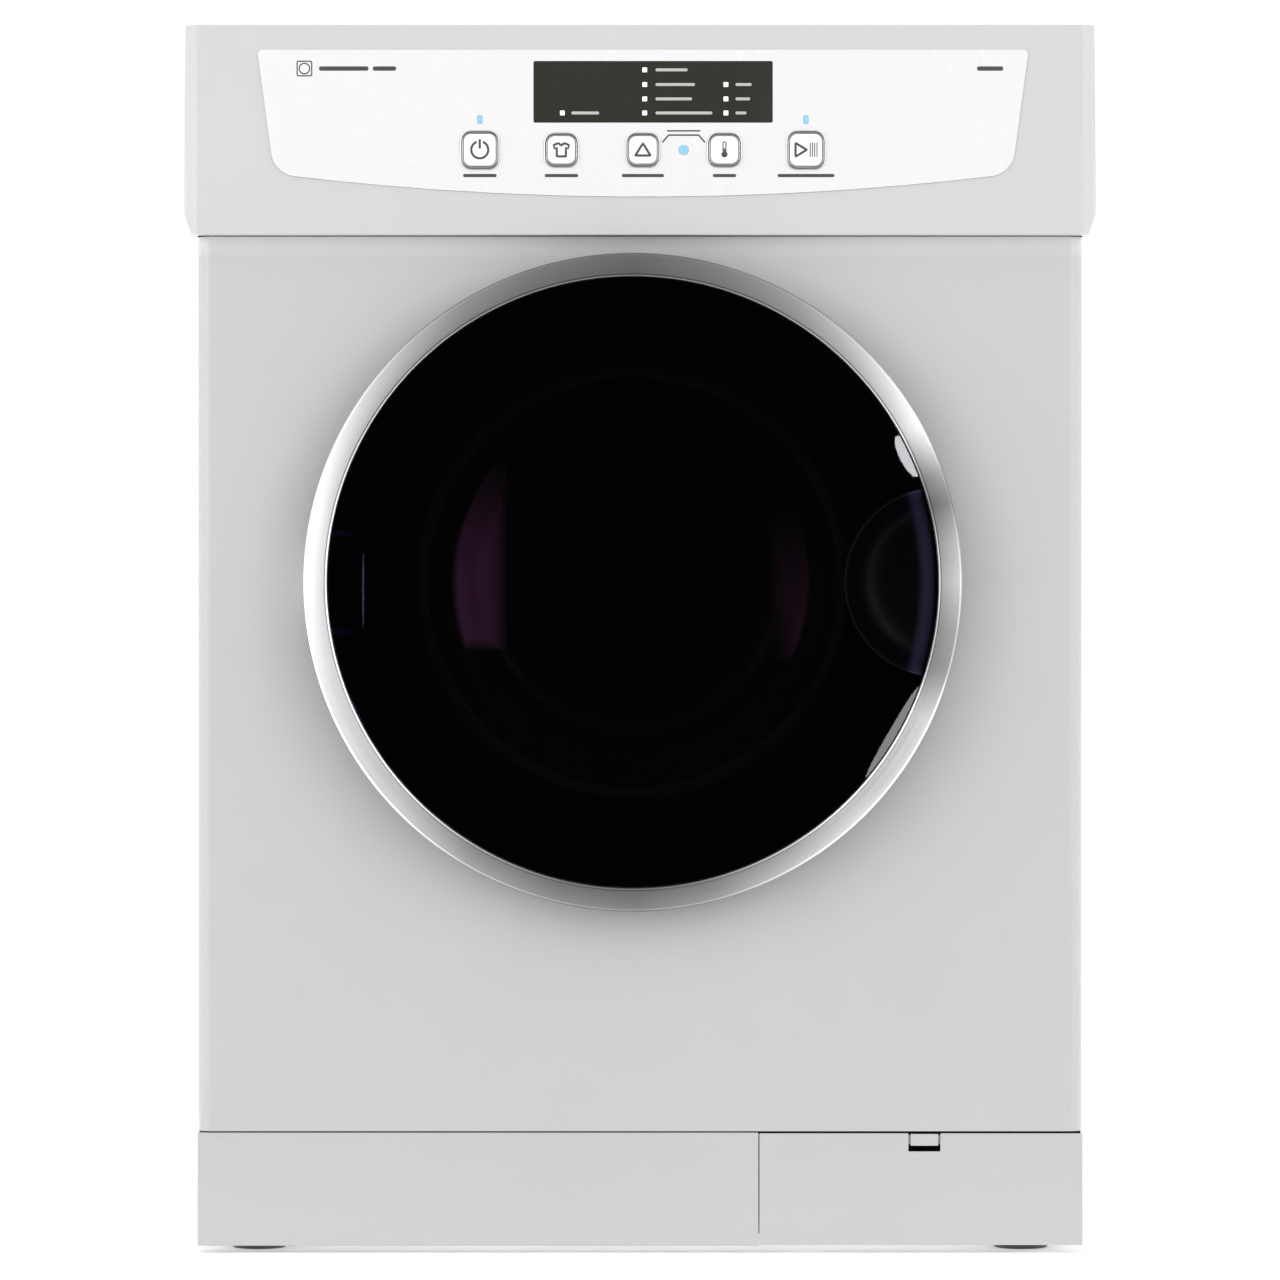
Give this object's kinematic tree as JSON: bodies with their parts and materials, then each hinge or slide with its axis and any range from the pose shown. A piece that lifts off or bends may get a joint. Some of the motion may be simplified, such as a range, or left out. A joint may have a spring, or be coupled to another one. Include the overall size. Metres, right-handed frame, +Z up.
{
  "type": "clothes dryer",
  "caption": "Compact front-loading vented clothes dryer: sheet-steel cabinet, console with push buttons, round hinged door with a bright ring and dark glass, drum, belt drive and fan.",
  "frame": {"origin": "on the floor, at the centre of the overall footprint", "axes": "+Z up, the front with the door faces -Y, +X to the right of someone facing the door"},
  "size_m": [0.628, 0.59, 0.845],
  "materials": {
    "cabinet_paint": "light warm grey enamel, smooth with a faint orange peel",
    "console_plastic": "light grey moulded plastic, satin",
    "fascia_white": "white fascia sheet, smooth",
    "display_dark": "dark olive-grey window",
    "chrome_trim": "bright plated trim",
    "lamp_blue": "pale blue translucent lens",
    "board_green": "circuit board laminate",
    "galvanised_steel": "zinc-coated steel sheet",
    "felt_seal": "grey felt",
    "heater_steel": "heat-tinted steel sheath",
    "bearing_bronze": "sintered bronze",
    "duct_plastic": "grey polypropylene",
    "motor_aluminium": "cast end shields",
    "belt_rubber": "ribbed black rubber",
    "white_plastic": "white moulded plastic",
    "zinc_plate": "zinc-plated steel",
    "black_rubber": "black rubber",
    "door_plastic": "dark grey moulded plastic",
    "door_trim": "brushed bright ring",
    "door_glass": "near-black tinted dome",
    "grip_plastic": "black moulded cup",
    "bowl_glass": "dark smoked glass",
    "drum_steel": "stainless drum sheet",
    "shaft_steel": "ground steel",
    "button_white": "white key cap"
  },
  "bodies": {
    "cabinet": {"base_pan": "galvanised_steel", "side_panel_left": "cabinet_paint", "side_panel_right": "cabinet_paint", "rear_panel": "galvanised_steel", "front_panel": "cabinet_paint", "top_panel": "console_plastic", "console_housing": "console_plastic", "console_fascia": "fascia_white", "display_window": "display_dark", "button_bezels": "chrome_trim", "indicator_lenses": "lamp_blue", "control_board": "board_green", "plinth_panel": "console_plastic", "front_bulkhead": "galvanised_steel", "drum_front_seal": "felt_seal", "heater_housing": "galvanised_steel", "heater_coils": "heater_steel", "thermostats": "black_rubber", "rear_bulkhead": "galvanised_steel", "drum_bearing": "bearing_bronze", "rear_duct": "duct_plastic", "blower_housing": "duct_plastic", "exhaust_duct": "duct_plastic", "motor_bracket": "galvanised_steel", "motor_stator": "motor_aluminium", "idler_spring": "zinc_plate", "drive_belt": "belt_rubber", "door_catch": "white_plastic", "hinge_bracket": "zinc_plate", "cord_gland": "black_rubber", "rear_screws": "zinc_plate"},
    "door": {"door_frame": "door_plastic", "door_ring": "door_trim", "door_glass": "door_glass", "door_grip": "grip_plastic", "door_bowl": "bowl_glass", "door_gasket": "black_rubber", "door_strike": "zinc_plate", "door_hinge_leaf": "zinc_plate"},
    "drum": {"drum_front": "drum_steel", "drum_shell": "drum_steel", "drum_back": "drum_steel", "drum_lifters": "white_plastic", "drum_shaft": "shaft_steel"},
    "filter": {"filter_cover": "white_plastic"},
    "rotor": {"rotor_shaft": "shaft_steel", "blower_wheel": "duct_plastic"},
    "idler_arm": {"idler_arm": "zinc_plate"},
    "idler_pulley": {"idler_pulley": "white_plastic"},
    "button_power": {"button_power": "button_white"},
    "button_refresh": {"button_refresh": "button_white"},
    "button_programs": {"button_programs": "button_white"},
    "button_temp": {"button_temp": "button_white"},
    "button_start": {"button_start": "button_white"},
    "service_flap": {"service_flap": "console_plastic"},
    "flap_latch": {"flap_latch": "console_plastic"},
    "foot_front_left": {"foot_front_left": "black_rubber"},
    "foot_front_right": {"foot_front_right": "black_rubber"},
    "foot_rear_left": {"foot_rear_left": "black_rubber"},
    "foot_rear_right": {"foot_rear_right": "black_rubber"}
  },
  "joints": [
    {"name": "door_swing", "type": "hinge", "parent": "cabinet", "child": "door", "pos_m": [-0.222, -0.27, 0.462], "axis": [0, 0, -1], "range_deg": [0, 110]},
    {"name": "drum_spin", "type": "hinge", "parent": "cabinet", "child": "drum", "pos_m": [-0.005, 0, 0.462], "axis": [0, 1, 0], "continuous": true},
    {"name": "filter_twist", "type": "hinge", "parent": "drum", "child": "filter", "pos_m": [-0.005, 0.15, 0.462], "axis": [0, 1, 0], "range_deg": [0, 30]},
    {"name": "rotor_spin", "type": "hinge", "parent": "cabinet", "child": "rotor", "pos_m": [0.17, 0, 0.108], "axis": [0, 1, 0], "continuous": true},
    {"name": "idler_swing", "type": "hinge", "parent": "cabinet", "child": "idler_arm", "pos_m": [0.12, -0.0495, 0.07], "axis": [0, 1, 0], "range_deg": [0, 8], "stiffness_Nm_per_rad": 20, "springref_deg": -5.73, "deforming": ["idler_spring"]},
    {"name": "idler_spin", "type": "hinge", "parent": "idler_arm", "child": "idler_pulley", "pos_m": [0.06, -0.06, 0.14], "axis": [0, 1, 0], "continuous": true},
    {"name": "power_press", "type": "slide", "parent": "cabinet", "child": "button_power", "axis": [0, 1, 0], "range_m": [0, 0.0015], "stiffness_N_per_m": 600, "springref_m": -0.001},
    {"name": "refresh_press", "type": "slide", "parent": "cabinet", "child": "button_refresh", "axis": [0, 1, 0], "range_m": [0, 0.0015], "stiffness_N_per_m": 600, "springref_m": -0.001},
    {"name": "programs_press", "type": "slide", "parent": "cabinet", "child": "button_programs", "axis": [0, 1, 0], "range_m": [0, 0.0015], "stiffness_N_per_m": 600, "springref_m": -0.001},
    {"name": "temp_press", "type": "slide", "parent": "cabinet", "child": "button_temp", "axis": [0, 1, 0], "range_m": [0, 0.0015], "stiffness_N_per_m": 600, "springref_m": -0.001},
    {"name": "start_press", "type": "slide", "parent": "cabinet", "child": "button_start", "axis": [0, 1, 0], "range_m": [0, 0.0015], "stiffness_N_per_m": 600, "springref_m": -0.001},
    {"name": "flap_tilt", "type": "hinge", "parent": "cabinet", "child": "service_flap", "pos_m": [0.193, -0.2405, 0.012], "axis": [1, 0, 0], "range_deg": [0, 85]},
    {"name": "latch_press", "type": "slide", "parent": "service_flap", "child": "flap_latch", "axis": [0, 0, -1], "range_m": [0, 0.003], "stiffness_N_per_m": 500, "springref_m": -0.001},
    {"name": "foot_front_left_turn", "type": "hinge", "parent": "cabinet", "child": "foot_front_left", "pos_m": [-0.265, -0.204, 0.01], "axis": [0, 0, 1], "continuous": true},
    {"name": "foot_front_right_turn", "type": "hinge", "parent": "cabinet", "child": "foot_front_right", "pos_m": [0.265, -0.204, 0.01], "axis": [0, 0, 1], "continuous": true},
    {"name": "foot_rear_left_turn", "type": "hinge", "parent": "cabinet", "child": "foot_rear_left", "pos_m": [-0.265, 0.226, 0.01], "axis": [0, 0, 1], "continuous": true},
    {"name": "foot_rear_right_turn", "type": "hinge", "parent": "cabinet", "child": "foot_rear_right", "pos_m": [0.265, 0.226, 0.01], "axis": [0, 0, 1], "continuous": true}
  ],
  "couplings": [
    {"joint": "rotor_spin", "follows": "drum_spin", "ratio": 26.97},
    {"joint": "idler_spin", "follows": "drum_spin", "ratio": 16.888}
  ]
}
